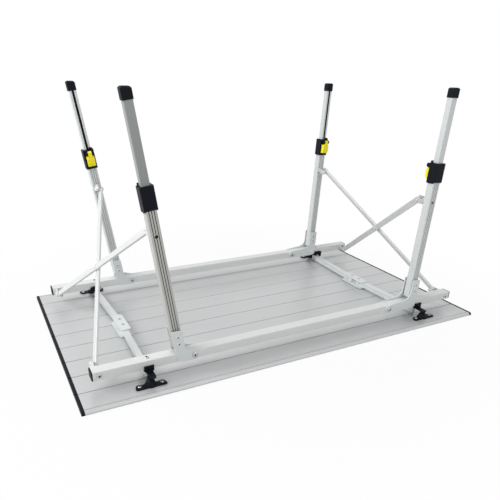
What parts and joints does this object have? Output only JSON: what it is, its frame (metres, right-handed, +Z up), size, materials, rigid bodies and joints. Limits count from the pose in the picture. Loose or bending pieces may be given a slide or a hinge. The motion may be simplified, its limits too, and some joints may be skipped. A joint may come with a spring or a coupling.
{
  "type": "folding camping table",
  "caption": "Slatted aluminium roll-top camping table on a folding frame with telescopic legs, scissor braces and hinged cross bars, standing on its top.",
  "frame": {"origin": "under the middle of the slatted top's top face, which lies on the ground as pictured", "axes": "+X along the table's length to the viewer's right, +Y across its width away from the viewer, +Z up from the top face towards the feet, so the table is upside down"},
  "size_m": [1.216, 0.7, 0.655],
  "materials": {
    "slat_aluminium": "satin anodised extrusion",
    "frame_aluminium": "satin anodised tube",
    "inner_aluminium": "satin anodised tube",
    "bracket_metal": "pale silver powder coat",
    "zinc_steel": "zinc plated",
    "black_plastic": "matt moulded",
    "foot_rubber": "matt moulded",
    "yellow_plastic": "satin moulded"
  },
  "bodies": {
    "table": {"slat_front": "slat_aluminium", "slats_middle": "slat_aluminium", "slat_rear": "slat_aluminium", "slat_caps_left": "black_plastic", "slat_caps_right": "black_plastic", "stud_bases": "black_plastic", "base_screws": "zinc_steel", "rail_rear": "frame_aluminium", "rail_caps_rear": "black_plastic", "saddles_rear": "black_plastic", "rail_bolts_rear": "zinc_steel"},
    "rail_front": {"rail_front": "frame_aluminium", "rail_caps_front": "black_plastic", "saddles_front": "black_plastic", "rail_bolts_front": "zinc_steel"},
    "half_bar_left_rear": {"half_bar_left_rear": "frame_aluminium"},
    "hinge_left": {"hinge_plates_left": "bracket_metal", "hinge_rivets_left": "zinc_steel"},
    "half_bar_left_front": {"half_bar_left_front": "frame_aluminium"},
    "half_bar_right_rear": {"half_bar_right_rear": "frame_aluminium"},
    "hinge_right": {"hinge_plates_right": "bracket_metal", "hinge_rivets_right": "zinc_steel"},
    "half_bar_right_front": {"half_bar_right_front": "frame_aluminium"},
    "leg_left_rear": {"bracket_left_rear": "bracket_metal", "outer_tube_left_rear": "frame_aluminium", "collar_left_rear": "black_plastic"},
    "leg_left_front": {"bracket_left_front": "bracket_metal", "outer_tube_left_front": "frame_aluminium", "collar_left_front": "black_plastic"},
    "rail_clevis_left_rear": {"rail_clevis_left_rear": "bracket_metal"},
    "brace_left_rear": {"brace_left_rear": "bracket_metal"},
    "leg_clevis_left_rear": {"leg_clevis_left_rear": "bracket_metal"},
    "rail_clevis_left_front": {"rail_clevis_left_front": "bracket_metal"},
    "brace_left_front": {"brace_left_front": "bracket_metal"},
    "leg_clevis_left_front": {"leg_clevis_left_front": "bracket_metal"},
    "leg_right_rear": {"bracket_right_rear": "bracket_metal", "outer_tube_right_rear": "frame_aluminium", "collar_right_rear": "black_plastic"},
    "leg_right_front": {"bracket_right_front": "bracket_metal", "outer_tube_right_front": "frame_aluminium", "collar_right_front": "black_plastic"},
    "rail_clevis_right_rear": {"rail_clevis_right_rear": "bracket_metal"},
    "brace_right_rear": {"brace_right_rear": "bracket_metal"},
    "leg_clevis_right_rear": {"leg_clevis_right_rear": "bracket_metal"},
    "rail_clevis_right_front": {"rail_clevis_right_front": "bracket_metal"},
    "brace_right_front": {"brace_right_front": "bracket_metal"},
    "leg_clevis_right_front": {"leg_clevis_right_front": "bracket_metal"},
    "inner_leg_left_rear": {"inner_tube_left_rear": "inner_aluminium", "foot_left_rear": "foot_rubber"},
    "inner_leg_left_front": {"inner_tube_left_front": "inner_aluminium", "foot_left_front": "foot_rubber"},
    "lever_left_rear": {"lever_left_rear": "yellow_plastic"},
    "lever_left_front": {"lever_left_front": "yellow_plastic"},
    "inner_leg_right_rear": {"inner_tube_right_rear": "inner_aluminium", "foot_right_rear": "foot_rubber"},
    "inner_leg_right_front": {"inner_tube_right_front": "inner_aluminium", "foot_right_front": "foot_rubber"},
    "lever_right_rear": {"lever_right_rear": "yellow_plastic"},
    "lever_right_front": {"lever_right_front": "yellow_plastic"}
  },
  "joints": [
    {"name": "frame_fold", "type": "hinge", "parent": "table", "child": "half_bar_left_rear", "pos_m": [-0.432, 0.27, 0.02455], "axis": [0, 0, 1], "range_deg": [0, 39.5]},
    {"name": "hinge_left_rear_pivot", "type": "hinge", "parent": "half_bar_left_rear", "child": "hinge_left", "pos_m": [-0.421, 0.018, 0.02455], "axis": [0, 0, 1], "range_deg": [-39.5, 0]},
    {"name": "hinge_left_front_pivot", "type": "hinge", "parent": "hinge_left", "child": "half_bar_left_front", "pos_m": [-0.421, -0.018, 0.02455], "axis": [0, 0, 1], "range_deg": [-39.5, 0]},
    {"name": "rail_front_left_pivot", "type": "hinge", "parent": "half_bar_left_front", "child": "rail_front", "pos_m": [-0.432, -0.27, 0.02455], "axis": [0, 0, 1], "range_deg": [0, 39.5]},
    {"name": "half_bar_right_rear_pivot", "type": "hinge", "parent": "table", "child": "half_bar_right_rear", "pos_m": [0.432, 0.27, 0.02455], "axis": [0, 0, 1], "range_deg": [-39.5, 0]},
    {"name": "hinge_right_rear_pivot", "type": "hinge", "parent": "half_bar_right_rear", "child": "hinge_right", "pos_m": [0.421, 0.018, 0.02455], "axis": [0, 0, 1], "range_deg": [0, 39.5]},
    {"name": "hinge_right_front_pivot", "type": "hinge", "parent": "hinge_right", "child": "half_bar_right_front", "pos_m": [0.421, -0.018, 0.02455], "axis": [0, 0, 1], "range_deg": [0, 39.5]},
    {"name": "leg_left_rear_fold", "type": "hinge", "parent": "table", "child": "leg_left_rear", "pos_m": [-0.314, 0.27, 0.054], "axis": [0, 1, 0], "range_deg": [0, 39.9]},
    {"name": "leg_left_front_fold", "type": "hinge", "parent": "rail_front", "child": "leg_left_front", "pos_m": [-0.314, -0.27, 0.054], "axis": [0, 1, 0], "range_deg": [0, 39.9]},
    {"name": "rail_clevis_left_rear_swivel", "type": "hinge", "parent": "table", "child": "rail_clevis_left_rear", "pos_m": [-0.549, 0.27, 0.054], "axis": [0, 1, 0], "range_deg": [0, 25.51]},
    {"name": "brace_left_rear_pivot", "type": "hinge", "parent": "rail_clevis_left_rear", "child": "brace_left_rear", "pos_m": [-0.549, 0.229, 0.054], "axis": [0.8931, 0, -0.4498], "range_deg": [-18.01, 0]},
    {"name": "leg_clevis_left_rear_pivot", "type": "hinge", "parent": "brace_left_rear", "child": "leg_clevis_left_rear", "pos_m": [-0.39388, -0.229, 0.362], "axis": [0.8931, 0, -0.4498], "range_deg": [0, 18.01]},
    {"name": "rail_clevis_left_front_swivel", "type": "hinge", "parent": "rail_front", "child": "rail_clevis_left_front", "pos_m": [-0.549, -0.27, 0.054], "axis": [0, 1, 0], "range_deg": [0, 25.51]},
    {"name": "brace_left_front_pivot", "type": "hinge", "parent": "rail_clevis_left_front", "child": "brace_left_front", "pos_m": [-0.549, -0.229, 0.054], "axis": [0.8931, 0, -0.4498], "range_deg": [0, 18.01]},
    {"name": "leg_clevis_left_front_pivot", "type": "hinge", "parent": "brace_left_front", "child": "leg_clevis_left_front", "pos_m": [-0.39388, 0.229, 0.362], "axis": [0.8931, 0, -0.4498], "range_deg": [-18.01, 0]},
    {"name": "leg_right_rear_fold", "type": "hinge", "parent": "table", "child": "leg_right_rear", "pos_m": [0.314, 0.27, 0.054], "axis": [0, 1, 0], "range_deg": [-38.91, 0]},
    {"name": "leg_right_front_fold", "type": "hinge", "parent": "rail_front", "child": "leg_right_front", "pos_m": [0.314, -0.27, 0.054], "axis": [0, 1, 0], "range_deg": [-38.91, 0]},
    {"name": "rail_clevis_right_rear_swivel", "type": "hinge", "parent": "table", "child": "rail_clevis_right_rear", "pos_m": [0.549, 0.27, 0.054], "axis": [0, 1, 0], "range_deg": [-25.63, 0]},
    {"name": "brace_right_rear_pivot", "type": "hinge", "parent": "rail_clevis_right_rear", "child": "brace_right_rear", "pos_m": [0.549, 0.229, 0.054], "axis": [0.9182, 0, 0.396], "range_deg": [-18.38, 0]},
    {"name": "leg_clevis_right_rear_pivot", "type": "hinge", "parent": "brace_right_rear", "child": "leg_clevis_right_rear", "pos_m": [0.41617, -0.229, 0.362], "axis": [0.9182, 0, 0.396], "range_deg": [0, 18.38]},
    {"name": "rail_clevis_right_front_swivel", "type": "hinge", "parent": "rail_front", "child": "rail_clevis_right_front", "pos_m": [0.549, -0.27, 0.054], "axis": [0, 1, 0], "range_deg": [-25.63, 0]},
    {"name": "brace_right_front_pivot", "type": "hinge", "parent": "rail_clevis_right_front", "child": "brace_right_front", "pos_m": [0.549, -0.229, 0.054], "axis": [0.9182, 0, 0.396], "range_deg": [0, 18.38]},
    {"name": "leg_clevis_right_front_pivot", "type": "hinge", "parent": "brace_right_front", "child": "leg_clevis_right_front", "pos_m": [0.41617, 0.229, 0.362], "axis": [0.9182, 0, 0.396], "range_deg": [-18.38, 0]},
    {"name": "leg_left_rear_height", "type": "slide", "parent": "leg_left_rear", "child": "inner_leg_left_rear", "axis": [-0.1461, 0, 0.9893], "range_m": [-0.143, 0.007]},
    {"name": "leg_left_front_height", "type": "slide", "parent": "leg_left_front", "child": "inner_leg_left_front", "axis": [-0.1461, 0, 0.9893], "range_m": [-0.15, 0]},
    {"name": "lever_left_rear_turn", "type": "hinge", "parent": "leg_left_rear", "child": "lever_left_rear", "pos_m": [-0.40859, 0.2465, 0.4616], "axis": [-0.9893, 0, -0.1461], "range_deg": [0, 90]},
    {"name": "lever_left_front_turn", "type": "hinge", "parent": "leg_left_front", "child": "lever_left_front", "pos_m": [-0.40859, -0.2465, 0.4616], "axis": [0.9893, 0, 0.1461], "range_deg": [0, 90]},
    {"name": "leg_right_rear_height", "type": "slide", "parent": "leg_right_rear", "child": "inner_leg_right_rear", "axis": [0.0401, 0, 0.9992], "range_m": [-0.143, 0.007]},
    {"name": "leg_right_front_height", "type": "slide", "parent": "leg_right_front", "child": "inner_leg_right_front", "axis": [0.0401, 0, 0.9992], "range_m": [-0.15, 0]},
    {"name": "lever_right_rear_turn", "type": "hinge", "parent": "leg_right_rear", "child": "lever_right_rear", "pos_m": [0.42009, 0.2465, 0.45966], "axis": [-0.9992, 0, 0.0401], "range_deg": [0, 90]},
    {"name": "lever_right_front_turn", "type": "hinge", "parent": "leg_right_front", "child": "lever_right_front", "pos_m": [0.42009, -0.2465, 0.45966], "axis": [0.9992, 0, -0.0401], "range_deg": [0, 90]}
  ],
  "couplings": [
    {"joint": "hinge_left_rear_pivot", "follows": "frame_fold", "ratio": -1},
    {"joint": "hinge_left_front_pivot", "follows": "frame_fold", "ratio": -1},
    {"joint": "rail_front_left_pivot", "follows": "frame_fold", "ratio": 1},
    {"joint": "half_bar_right_rear_pivot", "follows": "frame_fold", "ratio": -1},
    {"joint": "hinge_right_rear_pivot", "follows": "frame_fold", "ratio": 1},
    {"joint": "hinge_right_front_pivot", "follows": "frame_fold", "ratio": 1},
    {"joint": "leg_left_rear_fold", "follows": "frame_fold", "ratio": 1.01},
    {"joint": "leg_left_front_fold", "follows": "frame_fold", "ratio": 1.01},
    {"joint": "rail_clevis_left_rear_swivel", "follows": "frame_fold", "ratio": 0.64586},
    {"joint": "brace_left_rear_pivot", "follows": "frame_fold", "ratio": -0.45605},
    {"joint": "leg_clevis_left_rear_pivot", "follows": "frame_fold", "ratio": 0.45605},
    {"joint": "rail_clevis_left_front_swivel", "follows": "frame_fold", "ratio": 0.64586},
    {"joint": "brace_left_front_pivot", "follows": "frame_fold", "ratio": 0.45605},
    {"joint": "leg_clevis_left_front_pivot", "follows": "frame_fold", "ratio": -0.45605},
    {"joint": "leg_right_rear_fold", "follows": "frame_fold", "ratio": -0.98516},
    {"joint": "leg_right_front_fold", "follows": "frame_fold", "ratio": -0.98516},
    {"joint": "rail_clevis_right_rear_swivel", "follows": "frame_fold", "ratio": -0.64879},
    {"joint": "brace_right_rear_pivot", "follows": "frame_fold", "ratio": -0.46522},
    {"joint": "leg_clevis_right_rear_pivot", "follows": "frame_fold", "ratio": 0.46522},
    {"joint": "rail_clevis_right_front_swivel", "follows": "frame_fold", "ratio": -0.64879},
    {"joint": "brace_right_front_pivot", "follows": "frame_fold", "ratio": 0.46522},
    {"joint": "leg_clevis_right_front_pivot", "follows": "frame_fold", "ratio": -0.46522}
  ]
}
